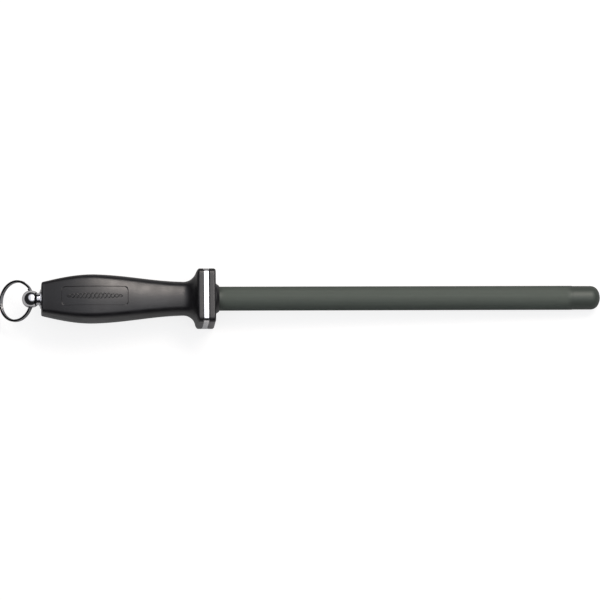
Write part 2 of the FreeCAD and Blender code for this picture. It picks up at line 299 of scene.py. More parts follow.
def makeMouldingMaterial():
    material, tree, shader, place = startMaterial("blackMoulding", moulding["colour"], IOR=1.58)
    edge = attribute(tree, "edge")
    texture = placeGroup(tree, grainGroup, place, {"Scale": 2600.0, "Detail": 2.0})
    clouds = placeGroup(tree, grainGroup, place, {"Scale": 90.0, "Detail": 4.0, "Contrast": 1.8})
    rub = placeGroup(tree, rubGroup, place, {"Edge": edge, "Scale": 500.0, "Amount": 0.8})
    lines = placeGroup(tree, scratchGroup, place, {"Scale": 170.0, "Thin": 0.012, "Amount": 0.35})
    tint = blendColour(tree, rub["Mask"], moulding["colour"], moulding["rubbed"])
    tint = blendColour(tree, lines["Mask"], tint, moulding["rubbed"])
    tree.links.new(tint, shader.inputs["Base Color"])
    rough = ramp(tree, clouds["Value"], 0.2, 0.8, *moulding["rough"], shape="LINEAR")
    rough = calc(tree, "SUBTRACT", rough, calc(tree, "MULTIPLY", rub["Mask"], moulding["rubSmooths"]))
    tree.links.new(rough, shader.inputs["Roughness"])
    under = addBump(tree, shader, texture["Height"], 0.00003, 0.5)
    addBump(tree, shader, lines["Mask"], -0.00002, 0.4, under)
    return material


rodFinish = {"cut": (0.072, 0.089, 0.075), "crest": (0.108, 0.130, 0.112), "bare": (0.054, 0.066, 0.057),
             "cutRough": (0.55, 0.7), "bareRough": (0.44, 0.56), "crestShare": 0.55, "patchShare": 0.15,
             "bandShare": 0.4}


def makeRodMaterial():
    material, tree, shader, place = startMaterial("rodSteel", rodFinish["cut"], Metallic=0.2)
    cut = attribute(tree, "cut")
    groove = attribute(tree, "groove")
    streaks = placeGroup(tree, grainGroup, place, {"Stretch": (0.02, 1, 1), "Scale": 2200.0, "Detail": 3.0,
                                                   "Contrast": 1.6})
    patches = placeGroup(tree, grainGroup, place, {"Stretch": (0.4, 1, 1), "Scale": 60.0, "Detail": 4.0,
                                                   "Contrast": 1.5})
    lines = placeGroup(tree, scratchGroup, place, {"Scale": 240.0, "Thin": 0.015, "Amount": 0.5})
    bands = placeGroup(tree, grainGroup, place, {"Stretch": (0.004, 1, 1), "Scale": 620.0, "Detail": 2.0,
                                                 "Contrast": 2.2})
    between = calc(tree, "SUBTRACT", 1.0, groove)
    crest = calc(tree, "MULTIPLY", between, ramp(tree, streaks["Value"], 0.3, 0.8))
    worked = blendColour(tree, calc(tree, "MULTIPLY", crest, rodFinish["crestShare"]), rodFinish["cut"],
                         rodFinish["crest"])
    for darker, share in ((patches, rodFinish["patchShare"]), (bands, rodFinish["bandShare"])):
        worked = blendColour(tree, calc(tree, "MULTIPLY", darker["Value"], share), worked, rodFinish["bare"])
    colour = blendColour(tree, cut, rodFinish["bare"], worked)
    tree.links.new(colour, shader.inputs["Base Color"])
    cutRough = ramp(tree, streaks["Value"], 0.0, 1.0, *rodFinish["cutRough"], shape="LINEAR")
    bareRough = ramp(tree, patches["Value"], 0.0, 1.0, *rodFinish["bareRough"], shape="LINEAR")
    rough = addNode(tree, "ShaderNodeMix", {0: cut, 2: bareRough, 3: cutRough}).outputs[0]
    tree.links.new(rough, shader.inputs["Roughness"])
    under = addBump(tree, shader, streaks["Height"], 0.00004, 0.5)
    addBump(tree, shader, lines["Mask"], -0.00001, 0.4, under)
    return material


metals = {
    "plateMetal": {"colour": (0.9, 0.9, 0.91), "rough": (0.1, 0.16), "stretch": (1, 0.05, 0.05),
                   "grain": 2600.0},
    "eyeChrome": {"colour": (0.82, 0.82, 0.84), "rough": (0.03, 0.09), "stretch": (1, 1, 1), "grain": 900.0},
    "ringSteel": {"colour": (0.42, 0.42, 0.43), "rough": (0.05, 0.12), "stretch": (1, 1, 1), "grain": 1500.0},
    "zincSteel": {"colour": (0.66, 0.67, 0.7), "rough": (0.25, 0.45), "stretch": (1, 1, 1), "grain": 1200.0},
}
metalWear = {"dull": 0.8, "smearShare": 0.3, "hairlineRough": 0.12, "rubRough": 0.1}


def makeBrightMaterial(name):
    # plated or polished metal with a faint directional grain and hairlines
    metal = metals[name]
    colour = metal["colour"]
    material, tree, shader, place = startMaterial(name, colour, Metallic=1.0)
    edge = attribute(tree, "edge")
    grain = placeGroup(tree, grainGroup, place, {"Stretch": metal["stretch"], "Scale": metal["grain"],
                                                 "Detail": 2.0, "Contrast": 1.4})
    smears = placeGroup(tree, grainGroup, place, {"Scale": 220.0, "Detail": 3.0, "Contrast": 1.6})
    lines = placeGroup(tree, scratchGroup, place, {"Scale": 320.0, "Thin": 0.012, "Amount": 0.6})
    rub = placeGroup(tree, rubGroup, place, {"Edge": edge, "Scale": 900.0, "Amount": 0.7})
    dull = tuple(part * metalWear["dull"] for part in colour)
    smeared = calc(tree, "MULTIPLY", smears["Value"], metalWear["smearShare"])
    tint = blendColour(tree, rub["Mask"], blendColour(tree, smeared, colour, dull), dull)
    tree.links.new(tint, shader.inputs["Base Color"])
    base = ramp(tree, grain["Value"], 0.0, 1.0, *metal["rough"], shape="LINEAR")
    marked = calc(tree, "MULTIPLY_ADD", lines["Mask"], metalWear["hairlineRough"], base)
    rough = calc(tree, "MULTIPLY_ADD", rub["Mask"], metalWear["rubRough"], marked)
    tree.links.new(rough, shader.inputs["Roughness"])
    under = addBump(tree, shader, grain["Height"], 0.000006, 0.5)
    addBump(tree, shader, lines["Mask"], -0.000006, 0.4, under)
    return material


turnedPolymer = {"colour": (0.007, 0.007, 0.0075), "scuffed": (0.02, 0.02, 0.021), "rough": (0.4, 0.52)}


def makePolymerMaterial():
    # turned on a lathe, so its fine marks run round the axis
    material, tree, shader, place = startMaterial("bushPolymer", turnedPolymer["colour"])
    marks = placeGroup(tree, grainGroup, place, {"Stretch": (1, 0.1, 0.1), "Scale": 3000.0, "Detail": 1.0})
    clouds = placeGroup(tree, grainGroup, place, {"Scale": 300.0, "Contrast": 1.6})
    lines = placeGroup(tree, scratchGroup, place, {"Scale": 260.0, "Thin": 0.015, "Amount": 0.5})
    tint = blendColour(tree, lines["Mask"], turnedPolymer["colour"], turnedPolymer["scuffed"])
    tree.links.new(tint, shader.inputs["Base Color"])
    rough = ramp(tree, clouds["Value"], 0.0, 1.0, *turnedPolymer["rough"], shape="LINEAR")
    tree.links.new(rough, shader.inputs["Roughness"])
    addBump(tree, shader, marks["Height"], 0.00002, 0.6)
    return material


blackMoulding = makeMouldingMaterial()
rodSteel = makeRodMaterial()
plateMetal = makeBrightMaterial("plateMetal")
eyeChrome = makeBrightMaterial("eyeChrome")
ringSteel = makeBrightMaterial("ringSteel")
zincSteel = makeBrightMaterial("zincSteel")
bushPolymer = makePolymerMaterial()
print("materials made")


# the squarish section that grip, flange, plate and cap share

def sideEnds(half, corner, crown):
    # where a side meets its corner: across, up, and the corner's centre
    if crown > 0:
        radius = 1 / crown
        centre = half - radius
        middle = (centre + math.sqrt(2 * (radius - corner) ** 2 - centre ** 2)) / 2
        length = radius - corner
        return radius * middle / length, centre + radius * (middle - centre) / length, middle
    return half - corner, half, half - corner


def evenSteps(count):
    return [-1 + 2 * i / count for i in range(count)]


def squareRing(x, half, corner, crown, topSteps, sideSteps, cornerSteps, lift=None):
    # points round the axis, starting at the left end of the upper side; lift sinks the upper side
    across, up, middle = sideEnds(half, corner, crown)
    startAngle = math.atan2(across - middle, up - middle)
    points = []
    for quarter in range(4):
        outline = []
        steps = topSteps if quarter == 0 else sideSteps
        for share in steps:
            y = share(across) if callable(share) else share * across
            z = half - 1 / crown + math.sqrt(1 / crown ** 2 - y * y) if crown > 0 else half
            if lift and quarter == 0:
                z += lift(x, y)
            outline.append((y, z))
        for i in range(cornerSteps):
            angle = startAngle + (math.pi / 2 - 2 * startAngle) * i / cornerSteps
            outline.append((middle + corner * math.sin(angle), middle + corner * math.cos(angle)))
        for y, z in outline:
            for _ in range(quarter):
                y, z = z, -y
            points.append((x, y, z))
    return points


def roundRing(x, radius, like):
    # a circle whose points stand at the same angles as another ring's
    points = []
    for _, y, z in like:
        length = math.hypot(y, z)
        points.append((x, radius * y / length, radius * z / length))
    return points


grip = {
    "bellyFromPommel": 34 * mm, "taperLength": 63 * mm,
    "pommelHalf": 10.65 * mm, "bellyHalf": 15.82 * mm, "neckHalf": 11.1 * mm,
    "pommelCorner": 3.0 * mm, "bellyCorner": 4.7 * mm, "neckCorner": 5.6 * mm,
    "bellyCrown": 60 * mm, "neckCrown": 22 * mm, "pommelRound": 1.2 * mm,
    "gripLength": 94.2 * mm, "flareRadius": 9 * mm, "flangeRound": 2.4 * mm, "flangeLand": 2.43 * mm,
    "guardCorner": 3.3 * mm, "panelLength": 44.3 * mm, "panelWidth": 12.8 * mm, "panelCorner": 2.6 * mm,
    "panelDepth": 0.5 * mm, "panelWall": 0.3 * mm, "panelFromPommel": 35.2 * mm,
    "wellRadius": 8.0 * mm, "wellDepth": 38 * mm, "wellChamfer": 0.3 * mm,
    "tangHoleHalf": 4.1 * mm, "tangHoleCorner": 0.3 * mm, "rimEdge": 0.2 * mm, "rimStart": 0.4 * mm,
    "pommelSteps": 7, "flareSteps": 16, "rimSteps": 7, "sideSteps": 16, "cornerSteps": 12,
    "outerSteps": 5, "innerReach": 0.86,
}
handleLow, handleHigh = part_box("handle")
pommelX = handleLow.x
flangeX = handleHigh.x
guardHalf = handleHigh.z
neckX = pommelX + grip["gripLength"]


def gripHalf(fromPommel):
    g = grip
    if fromPommel <= g["bellyFromPommel"]:
        share = fromPommel / g["bellyFromPommel"]
        return g["pommelHalf"] + (g["bellyHalf"] - g["pommelHalf"]) * math.sin(math.pi / 2 * share)
    share = (fromPommel - g["bellyFromPommel"]) / g["taperLength"]
    return g["neckHalf"] + (g["bellyHalf"] - g["neckHalf"]) * (1 + math.cos(math.pi * share)) / 2


def gripSection(fromPommel):
    # half side, corner radius and crown of the grip
    g = grip
    if fromPommel <= g["bellyFromPommel"]:
        share = fromPommel / g["bellyFromPommel"]
        corner = g["pommelCorner"] + (g["bellyCorner"] - g["pommelCorner"]) * share
        return gripHalf(fromPommel), corner, 1 / g["bellyCrown"]
    along = (fromPommel - g["bellyFromPommel"]) / (g["gripLength"] - g["bellyFromPommel"])
    corner = g["bellyCorner"] + (g["neckCorner"] - g["bellyCorner"]) * along
    crown = 1 / g["bellyCrown"] + (1 / g["neckCrown"] - 1 / g["bellyCrown"]) * along
    return gripHalf(fromPommel), corner, crown


def flareSection(half):
    start = gripHalf(grip["gripLength"])
    share = (half - start) / (guardHalf - start)
    corner = grip["neckCorner"] + (grip["guardCorner"] - grip["neckCorner"]) * share
    crown = 0 if share > 0.995 else (1 - share) / grip["neckCrown"]
    return half, corner, crown


def panelDip(x, y):
    # how far the recessed panel sinks the upper side at a point
    g = grip
    alongX = abs(x - pommelX - g["panelFromPommel"]) - (g["panelLength"] / 2 - g["panelCorner"])
    acrossY = abs(y) - (g["panelWidth"] / 2 - g["panelCorner"])
    beyond = math.hypot(max(alongX, 0), max(acrossY, 0))
    outside = beyond + min(max(alongX, acrossY), 0) - g["panelCorner"]
    share = min(max(-outside / g["panelWall"], 0), 1)
    return -g["panelDepth"] * share * share * (3 - 2 * share)


def spaced(stops):
    # values from stop to stop, each stretch at its own step
    values = [stops[0][0]]
    for (start, step), (end, _) in zip(stops, stops[1:]):
        count = max(1, round((end - start) / step))
        values += [start + (end - start) * (i + 1) / count for i in range(count)]
    return values


def acrossPanel():
    # places across the upper side, close together at the panel's walls
    wall = grip["panelWall"]
    halfPanel = grip["panelWidth"] / 2
    inner = spaced([(0, 1.2 * mm), (halfPanel - grip["panelCorner"], 0.4 * mm),
                    (halfPanel - 2 * wall, wall / 4), (halfPanel + wall / 2, 0.3 * mm),
                    (halfPanel + 2 * wall, wall)])
    limit = inner[-1]
    shares = [y / limit for y in inner]
    count = grip["outerSteps"]

    def innerAt(share):
        return lambda across: share * min(limit, across * grip["innerReach"])

    def outerAt(sign, share):
        return lambda across: sign * (min(limit, across * grip["innerReach"]) * (1 - share) + across * share)

    steps = [outerAt(-1, 1 - i / count) for i in range(count)]
    steps += [innerAt(-s) for s in shares[:0:-1]] + [innerAt(s) for s in shares]
    return steps + [outerAt(1, (i + 1) / count) for i in range(count - 1)]


upperSteps = acrossPanel()
lowerSteps = evenSteps(grip["sideSteps"])


def gripRing(x, half, corner, crown, dip=None):
    return squareRing(x, half, corner, crown, upperSteps, lowerSteps, grip["cornerSteps"], dip)


def pommelRings():
    g = grip
    _, corner, crown = gripSection(0)
    rings = []
    for i in range(g["pommelSteps"]):
        angle = math.pi / 2 * i / g["pommelSteps"]
        half = gripHalf(g["pommelRound"]) - g["pommelRound"] * (1 - math.sin(angle))
        rings.append(gripRing(pommelX + g["pommelRound"] * (1 - math.cos(angle)), half, corner, crown))
    return rings


def bodyRings():
    # close together at the panel's ends
    g = grip
    wall = g["panelWall"]
    start = g["panelFromPommel"] - g["panelLength"] / 2
    end = g["panelFromPommel"] + g["panelLength"] / 2
    along = spaced([(g["pommelRound"], 1.2 * mm), (start - wall, wall / 4), (start + 2 * wall, 0.4 * mm),
                    (start + g["panelCorner"], 1.1 * mm), (end - g["panelCorner"], 0.4 * mm),
                    (end - 2 * wall, wall / 4), (end + wall, 1.2 * mm), (g["gripLength"], 1)])
    return [gripRing(pommelX + u, *gripSection(u), panelDip) for u in along]


def flangeRings():
    # the hollow flare, the round that carries it onto the flange's rim, and the rim
    g = grip
    drop = gripHalf(g["gripLength"]) + g["flareRadius"] - (guardHalf - g["flangeRound"])
    sweep = math.acos(drop / (g["flareRadius"] + g["flangeRound"]))
    rings = []
    for i in range(1, g["flareSteps"] + 1):
        angle = sweep * i / g["flareSteps"]
        half = gripHalf(g["gripLength"]) + g["flareRadius"] * (1 - math.cos(angle))
        rings.append(gripRing(neckX + g["flareRadius"] * math.sin(angle), *flareSection(half)))
    landX = flangeX - g["flangeLand"]
    for i in range(1, g["rimSteps"] + 1):
        angle = sweep * (1 - i / g["rimSteps"])
        half = guardHalf - g["flangeRound"] * (1 - math.cos(angle))
        rings.append(gripRing(landX - g["flangeRound"] * math.sin(angle), *flareSection(half)))
    edge = g["rimEdge"]
    for x, inset in ((landX + g["rimStart"], 0), (flangeX - edge * 2, 0), (flangeX - edge, 0),
                     (flangeX, edge), (flangeX, edge * 4)):
        rings.append(gripRing(x, guardHalf - inset, g["guardCorner"], 0))
    return rings


def wellRings(around):
    # through the tang's hole and out along the nut's well
    g = grip
    wellEnd = pommelX + g["wellDepth"]
    rings = [gripRing(x, g["tangHoleHalf"], g["tangHoleCorner"], 0) for x in (flangeX, wellEnd)]
    rings.append(roundRing(wellEnd, g["wellRadius"], around))
    rings.append(roundRing(pommelX + g["wellChamfer"], g["wellRadius"], around))
    rings.append(roundRing(pommelX, g["wellRadius"] + g["wellChamfer"], around))
    return rings


def makeHandle():
    rings = pommelRings() + bodyRings() + flangeRings()
    piece = skinRings("mouldedGrip", rings + wellRings(rings[0]), loop=True)
    smoothUpTo(piece, 40)
    markEdges(piece, 6 * mm, 1.2 * mm)
    piece.data.materials.append(blackMoulding)
    return piece


handle = makeHandle()
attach(handle, "steel")
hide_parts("handle")
print("grip made,", len(handle.data.polygons), "faces")


relief = {"length": 37 * mm, "swing": 1.75 * mm, "waves": 7.0, "wire": 0.32 * mm, "sink": 0.08 * mm,
          "weave": 0.12 * mm, "points": 420}


def makeReliefTree():
    # two strands that weave over and under each other, laid on the surface below them
    tree, given, out = makeTree("wovenBand", "GeometryNodeTree",
                                [("Surface", "Object", None), ("Middle", "Float", 0.0),
                                 ("Length", "Float", 0.03), ("Swing", "Float", 0.002),
                                 ("Waves", "Float", 7.0), ("Wire", "Float", 0.0003),
                                 ("Sink", "Float", 0.0), ("Weave", "Float", 0.0001),
                                 ("Points", "Int", 200), ("Material", "Material", None)],
                                [("Geometry", "Geometry")])
    surface = addNode(tree, "GeometryNodeObjectInfo", {"Object": given["Surface"]}).outputs["Geometry"]
    index = addNode(tree, "GeometryNodeInputIndex").outputs[0]
    last = calc(tree, "SUBTRACT", given["Points"], 1)
    share = calc(tree, "DIVIDE", index, last)
    x = calc(tree, "MULTIPLY_ADD", calc(tree, "SUBTRACT", share, 0.5), given["Length"], given["Middle"])
    phase = calc(tree, "MULTIPLY", calc(tree, "MULTIPLY", share, given["Waves"]), math.tau)
    thin = calc(tree, "SINE", calc(tree, "MULTIPLY", share, math.pi))
    narrowed = calc(tree, "POWER", calc(tree, "MAXIMUM", thin, 0.0), 0.4)
    swing = calc(tree, "MULTIPLY", given["Swing"], narrowed)
    strands = []
    for side in (1, -1):
        y = calc(tree, "MULTIPLY", calc(tree, "MULTIPLY", calc(tree, "SINE", phase), swing), side)
        weave = calc(tree, "MULTIPLY", calc(tree, "COSINE", phase), given["Weave"])
        over = calc(tree, "MULTIPLY", weave, side)
        above = addNode(tree, "ShaderNodeCombineXYZ", {0: x, 1: y, 2: 0.05}).outputs[0]
        hit = addNode(tree, "GeometryNodeRaycast", {"Target Geometry": surface, "Source Position": above,
                                                    "Ray Direction": (0, 0, -1)}).outputs["Hit Position"]
        raised = calc(tree, "SUBTRACT", over, given["Sink"])
        lifted = addNode(tree, "ShaderNodeCombineXYZ", {2: raised}).outputs[0]
        place = addNode(tree, "ShaderNodeVectorMath", {0: hit, 1: lifted}, operation="ADD").outputs[0]
        line = addNode(tree, "GeometryNodeMeshLine", {"Count": given["Points"]}).outputs[0]
        laid = addNode(tree, "GeometryNodeSetPosition", {"Geometry": line, "Position": place}).outputs[0]
        path = addNode(tree, "GeometryNodeMeshToCurve", {"Mesh": laid}).outputs[0]
        profile = addNode(tree, "GeometryNodeCurvePrimitiveCircle",
                          {"Resolution": 10, "Radius": given["Wire"]})
        swept = addNode(tree, "GeometryNodeCurveToMesh", {"Curve": path, "Profile Curve": profile.outputs[0],
                                                          "Fill Caps": True})
        strands.append(swept.outputs[0])
    joined = tree.nodes.new("GeometryNodeJoinGeometry")
    for strand in strands:
        tree.links.new(strand, joined.inputs[0])
    shaded = addNode(tree, "GeometryNodeSetShadeSmooth", {"Geometry": joined.outputs[0]}).outputs[0]
    return endTree(tree, shaded, given, out)


def makeRelief():
    piece = meshObject("gripRelief", [], [])
    useTree(piece, makeReliefTree(), {
        "Surface": handle, "Middle": pommelX + grip["panelFromPommel"], "Length": relief["length"],
        "Swing": relief["swing"], "Waves": relief["waves"], "Wire": relief["wire"], "Sink": relief["sink"],
        "Weave": relief["weave"], "Points": relief["points"], "Material": blackMoulding})
    return plainMesh(piece)


gripRelief = makeRelief()
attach(gripRelief, "steel")
print("relief made,", len(gripRelief.data.polygons), "faces")


guard = {"edge": 0.3 * mm, "capRound": 1.5 * mm, "collarLength": 2.7 * mm, "collarRootWall": 2.5 * mm,
         "collarEndWall": 0.7 * mm, "collarFoot": 0.5 * mm, "collarSink": 0.1 * mm,
         "lipBack": 0.12 * mm, "lipDrop": 0.15 * mm, "frontFlat": 0.6 * mm, "boreGap": 0.05 * mm,
         "tangGap": 0.1 * mm, "holeCorner": 0.3 * mm, "leastCorner": 0.4 * mm, "faceInset": 3 * mm,
         "sideSteps": 14, "cornerSteps": 12}
rodLow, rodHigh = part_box("sharpening_rod")
rodRadius = rodHigh.z
rod = {"lines": 104, "depth": 0.11 * mm, "fade": 3.5 * mm, "smoothTip": 19 * mm, "relief": 0.15 * mm,
       "endRadius": 10 * mm, "edgeRound": 6 * mm, "seatFrom": -7.3 * mm, "seatRelief": 0.3 * mm,
       "threadFrom": -72 * mm, "pitch": 1.25 * mm, "threadDepth": 0.45 * mm, "tangHalf": 4.0 * mm,
       "tangCorner": 0.4 * mm, "tangChamfer": 0.3 * mm, "cutFrom": 0.3 * mm, "cornerSteps": 8}
flatSteps = evenSteps(guard["sideSteps"])


def flatRing(x, half, corner):
    return squareRing(x, half, corner, 0, flatSteps, flatSteps, guard["cornerSteps"])


def guardRing(x, inset):
    return flatRing(x, guardHalf - inset, max(grip["guardCorner"] - inset, guard["leastCorner"]))


def makeGuardPlate():
    low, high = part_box("guard_plate")
    edge = guard["edge"]
    rings = []
    for x, way in ((low.x, 1), (high.x, -1)):
        side = [guardRing(x, guard["faceInset"]), guardRing(x, edge * 2), guardRing(x, edge)]
        side += [guardRing(x + way * edge * 0.3, edge * 0.3), guardRing(x + way * edge, 0),
                 guardRing(x + way * edge * 2, 0)]
        rings += side if way > 0 else side[::-1]
    for x in (high.x, low.x):
        rings.append(flatRing(x, rod["tangHalf"] + guard["tangGap"], guard["holeCorner"]))
    piece = skinRings("guardPlate", rings, loop=True)
    smoothUpTo(piece, 50)
    markEdges(piece, 6 * mm, 0.6 * mm)
    piece.data.materials.append(plateMetal)
    return piece


def makeGuardCap():
    low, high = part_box("guard_cap")
    g = guard
    frontX = high.x - g["collarLength"]
    edge = g["edge"]
    rings = [guardRing(low.x, g["faceInset"]), guardRing(low.x, edge * 3), guardRing(low.x, edge),
             guardRing(low.x + edge, 0), guardRing(low.x + edge * 3, 0),
             guardRing(frontX - g["capRound"] - edge, 0)]
    for i in range(9):
        angle = math.pi / 2 * i / 8
        rings.append(guardRing(frontX - g["capRound"] * (1 - math.sin(angle)),
                               g["capRound"] * (1 - math.cos(angle))))
    rings.append(guardRing(frontX, g["capRound"] + g["frontFlat"]))
    around = rings[0]
    root = rodRadius + g["collarRootWall"]
    end = rodRadius + g["collarEndWall"]
    foot = g["collarFoot"]
    for i in range(6):
        angle = math.pi / 2 * i / 5
        rings.append(roundRing(frontX + foot * (1 - math.cos(angle)),
                               root + foot * (1 - math.sin(angle)) - g["collarSink"], around))
    for share in (0.5, 0.86):
        rings.append(roundRing(frontX + g["collarLength"] * share, root + (end - root) * share, around))
    rings.append(roundRing(high.x - g["lipBack"], end, around))
    rings.append(roundRing(high.x, end - g["lipDrop"], around))
    for x in (high.x, low.x):
        rings.append(roundRing(x, rodRadius - rod["seatRelief"] + g["boreGap"], around))
    piece = skinRings("guardCap", rings, loop=True)
    smoothUpTo(piece, 45)
    markEdges(piece, 6 * mm, 0.8 * mm)
    piece.data.materials.append(blackMoulding)
    return piece


guardPlate = makeGuardPlate()
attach(guardPlate, "steel")
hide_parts("guard_plate")
guardCap = makeGuardCap()
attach(guardCap, "steel")
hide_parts("guard_cap")
print("guard made")


def rodProfile():
    # (x, radius) from the guard's collar to the tip, close together where the cut runs out
    tipX = rodHigh.x
    landX = tipX - rod["smoothTip"]
    tipRadius = rodRadius - rod["relief"]
    points = [(x, rodRadius) for x in spaced([(0, 1 * mm), (8 * mm, 8 * mm), (landX - 10 * mm, 0.8 * mm),
                                              (landX, 1)])]
    points += [(landX + 0.3 * mm, rodRadius - rod["relief"] * 0.4), (landX + 0.6 * mm, tipRadius)]
    sphereX = tipX - rod["endRadius"]
    roundR = tipRadius - rod["edgeRound"]
    domeX = sphereX + math.sqrt((rod["endRadius"] - rod["edgeRound"]) ** 2 - roundR ** 2)
    lean = math.atan2(roundR, domeX - sphereX)
    points += [(landX + (domeX - landX) * share, tipRadius) for share in (0.15, 0.5, 0.85)]
    for i in range(15):
        angle = math.pi / 2 + (lean - math.pi / 2) * i / 14
        points.append((domeX + rod["edgeRound"] * math.cos(angle),
                       roundR + rod["edgeRound"] * math.sin(angle)))
    for i in range(1, 9):
        angle = lean * (1 - i / 9)
        points.append((sphereX + rod["endRadius"] * math.cos(angle), rod["endRadius"] * math.sin(angle)))
    return points


def makeFineCutTree():
    # presses lengthwise grooves into a round bar that lies along X
    tree, given, out = makeTree("fineCut", "GeometryNodeTree",
                                [("Geometry", "Geometry", None), ("Lines", "Float", 100.0),
                                 ("Depth", "Float", 0.0001), ("From", "Float", 0.0), ("To", "Float", 0.2),
                                 ("Fade", "Float", 0.003), ("Material", "Material", None)],
                                [("Geometry", "Geometry")])
    position = addNode(tree, "GeometryNodeInputPosition").outputs[0]
    x, y, z = addNode(tree, "ShaderNodeSeparateXYZ", {0: position}).outputs
    angle = calc(tree, "ARCTAN2", z, y)
    wave = calc(tree, "COSINE", calc(tree, "MULTIPLY", angle, given["Lines"]))
    groove = calc(tree, "MULTIPLY_ADD", wave, -0.5, 0.5)
    enters = ramp(tree, x, given["From"], calc(tree, "ADD", given["From"], given["Fade"]))
    leaves = ramp(tree, x, given["To"], calc(tree, "SUBTRACT", given["To"], given["Fade"]))
    cut = calc(tree, "MULTIPLY", enters, leaves)
    outward = addNode(tree, "ShaderNodeCombineXYZ", {1: y, 2: z}).outputs[0]
    unit = addNode(tree, "ShaderNodeVectorMath", {0: outward}, operation="NORMALIZE").outputs[0]
    sink = calc(tree, "MULTIPLY", calc(tree, "MULTIPLY", groove, cut), given["Depth"])
    move = addNode(tree, "ShaderNodeVectorMath", {0: unit, "Scale": calc(tree, "MULTIPLY", sink, -1.0)},
                   operation="SCALE").outputs[0]
    kept = given["Geometry"]
    for label, value in (("cut", cut), ("groove", calc(tree, "MULTIPLY", groove, cut))):
        stored = addNode(tree, "GeometryNodeStoreNamedAttribute",
                         {"Geometry": kept, "Name": label, "Value": value}, data_type="FLOAT", domain="POINT")
        kept = stored.outputs[0]
    moved = addNode(tree, "GeometryNodeSetPosition", {"Geometry": kept, "Offset": move}).outputs[0]
    return endTree(tree, moved, given, out)


def makeRod():
    count = rod["lines"] * 4
    unitRing = [(0, math.cos(math.tau * i / count), math.sin(math.tau * i / count)) for i in range(count)]
    steps = evenSteps(count // 4 - rod["cornerSteps"])

    def square(x, half):
        return squareRing(x, half, rod["tangCorner"], 0, steps, steps, rod["cornerSteps"])

    def roundAt(x, radius):
        return roundRing(x, radius, around)

    around = unitRing[::-1]
    shift = count // 8
    around = around[shift + count // 2:] + around[:shift + count // 2]
    tang = rod["tangHalf"]
    threadEnd = rodLow.x
    rings = [roundAt(threadEnd, tang - rod["threadDepth"] * 1.6)]
    turns = round((rod["threadFrom"] - threadEnd) / rod["pitch"])
    for i in range(turns):
        x = threadEnd + (rod["threadFrom"] - threadEnd) * (i + 0.3) / turns
        rings.append(roundAt(x, tang - rod["threadDepth"]))
        rings.append(roundAt(x + rod["pitch"] * 0.45, tang))
    rings.append(square(rod["threadFrom"], tang - rod["tangChamfer"]))
    rings.append(square(rod["threadFrom"] + rod["tangChamfer"], tang))
    rings.append(square(rod["seatFrom"], tang))
    rings.append(roundAt(rod["seatFrom"], rodRadius - rod["seatRelief"]))
    rings.append(roundAt(0, rodRadius - rod["seatRelief"]))
    for x, radius in rodProfile():
        rings.append(roundAt(x, radius))
    piece = skinRings("sharpeningRod", rings)
    useTree(piece, makeFineCutTree(), {
        "Lines": float(rod["lines"]), "Depth": rod["depth"], "From": rod["cutFrom"],
        "To": rodHigh.x - rod["smoothTip"], "Fade": rod["fade"], "Material": rodSteel})
    piece = plainMesh(piece)
    smoothUpTo(piece, 60)
    return piece


sharpeningRod = makeRod()
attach(sharpeningRod, "steel")
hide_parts("sharpening_rod")
print("rod made,", len(sharpeningRod.data.polygons), "faces")


def makeEye():
    piece = mergedCopy("swivel_eye", "swivelEye")
    smoothUpTo(piece, 35)
    markEdges(piece, 2 * mm, 0.4 * mm)
    piece.data.materials.append(eyeChrome)
    return piece


swivelEye = makeEye()
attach(swivelEye, "swivel")
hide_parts("swivel_eye")


ring = {"outer": 27.9 * mm, "width": 1.6 * mm, "height": 1.2 * mm, "gap": 0.08 * mm, "round": 0.3 * mm,
        "crossFrom": 32.0, "crossAngle": 30.0, "points": 320}


